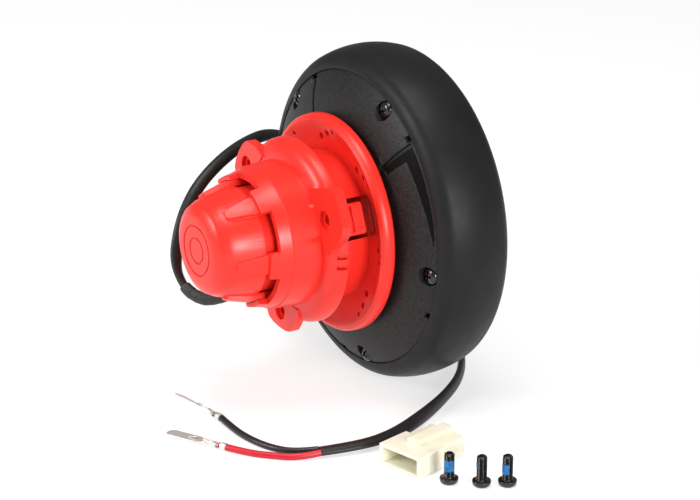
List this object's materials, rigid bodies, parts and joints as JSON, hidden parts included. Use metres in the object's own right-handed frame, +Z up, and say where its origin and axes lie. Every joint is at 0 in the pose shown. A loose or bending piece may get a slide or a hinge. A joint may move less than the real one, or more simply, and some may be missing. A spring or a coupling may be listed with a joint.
{
  "type": "hub motor wheel",
  "caption": "Geared hub drive wheel: slick tyre on a planetary hub, one-sided red motor housing with three bolt lugs, lead with tab terminals, connector and screws.",
  "frame": {"origin": "centre of the three-lug bolt circle, on the floors of the lugs' 9.2 mm screw recesses", "axes": "+Y along the wheel axis from the motor's nose to the wheel, +Z up, +X to the right seen from the nose"},
  "size_m": [0.2469, 0.184, 0.165],
  "materials": {
    "tyre_rubber": "satin",
    "rim_plastic": "matte",
    "cover_plastic": "satin",
    "screw_black": "satin",
    "red_plastic": "satin",
    "gear_nylon": "satin",
    "gear_steel": "satin",
    "steel": "satin",
    "bearing_steel": "polished",
    "bronze": "satin",
    "can_black": "satin",
    "end_cap_plastic": "matte",
    "magnet": "matte",
    "carbon": "matte",
    "core_steel": "matte",
    "winding_copper": "gloss",
    "commutator_copper": "satin",
    "cord_rubber": "satin",
    "wire_red": "satin",
    "wire_black": "satin",
    "tin": "satin",
    "nylon_white": "satin"
  },
  "bodies": {
    "root": {"bearing_inner_rings": "bearing_steel", "gearbox_plate": "steel", "planet_pins": "steel", "carrier_posts": "steel", "carrier_bolts": "steel", "planet_carrier": "steel", "axle": "steel", "bearing_spacer": "steel", "axle_washer": "steel", "axle_nut": "steel", "mounting_flange": "red_plastic", "motor_housing": "red_plastic", "nose_cap": "red_plastic", "lug_nuts": "steel", "case_screws": "steel", "motor_can": "can_black", "motor_end_cap": "end_cap_plastic", "motor_blades": "tin", "motor_bushes": "bronze", "motor_magnets": "magnet", "carbon_brushes": "carbon", "motor_screws": "steel", "cord_strain_relief": "cord_rubber", "power_cord": "cord_rubber", "red_wire": "wire_red", "black_wire": "wire_black", "red_terminal": "tin", "black_terminal": "tin"},
    "wheel": {"tyre": "tyre_rubber", "wheel_rim": "rim_plastic", "front_cover": "cover_plastic", "rear_cover": "cover_plastic", "hub_cap": "cover_plastic", "front_cover_screws": "screw_black", "rear_cover_screws": "screw_black", "ring_gear": "gear_nylon", "ring_gear_screws": "steel", "bearing_outer_rings": "bearing_steel", "bearing_balls": "bearing_steel"},
    "rotor": {"motor_shaft": "steel", "armature_core": "core_steel", "armature_windings": "winding_copper", "commutator": "commutator_copper", "sun_gear": "gear_steel"},
    "planet_1": {"planet_gear_1": "gear_nylon"},
    "planet_2": {"planet_gear_2": "gear_nylon"},
    "planet_3": {"planet_gear_3": "gear_nylon"},
    "connector": {"connector_housing": "nylon_white"},
    "screw_1": {"mounting_screw_1": "screw_black"},
    "screw_2": {"mounting_screw_2": "screw_black"},
    "screw_3": {"mounting_screw_3": "screw_black"}
  },
  "joints": [
    {"name": "wheel_spin", "type": "hinge", "parent": "root", "child": "wheel", "pos_m": [0, 0.057, 0], "axis": [0, 1, 0], "continuous": true},
    {"name": "rotor_spin", "type": "hinge", "parent": "root", "child": "rotor", "pos_m": [0, 0, 0], "axis": [0, 1, 0], "continuous": true},
    {"name": "planet_1_spin", "type": "hinge", "parent": "root", "child": "planet_1", "pos_m": [0, 0.0435, 0.021], "axis": [0, 1, 0], "continuous": true},
    {"name": "planet_2_spin", "type": "hinge", "parent": "root", "child": "planet_2", "pos_m": [-0.01819, 0.0435, -0.0105], "axis": [0, 1, 0], "continuous": true},
    {"name": "planet_3_spin", "type": "hinge", "parent": "root", "child": "planet_3", "pos_m": [0.01819, 0.0435, -0.0105], "axis": [0, 1, 0], "continuous": true},
    {"name": "connector_lift", "type": "slide", "parent": "root", "child": "connector", "axis": [0, 0, 1], "range_m": [0, 0.04]},
    {"name": "screw_1_lift", "type": "slide", "parent": "root", "child": "screw_1", "axis": [0, 0, 1], "range_m": [0, 0.03]},
    {"name": "screw_2_lift", "type": "slide", "parent": "root", "child": "screw_2", "axis": [0, 0, 1], "range_m": [0, 0.03]},
    {"name": "screw_3_lift", "type": "slide", "parent": "root", "child": "screw_3", "axis": [0, 0, 1], "range_m": [0, 0.03]}
  ],
  "couplings": [
    {"joint": "rotor_spin", "follows": "wheel_spin", "ratio": -6},
    {"joint": "planet_1_spin", "follows": "wheel_spin", "ratio": 2.4},
    {"joint": "planet_2_spin", "follows": "wheel_spin", "ratio": 2.4},
    {"joint": "planet_3_spin", "follows": "wheel_spin", "ratio": 2.4}
  ]
}
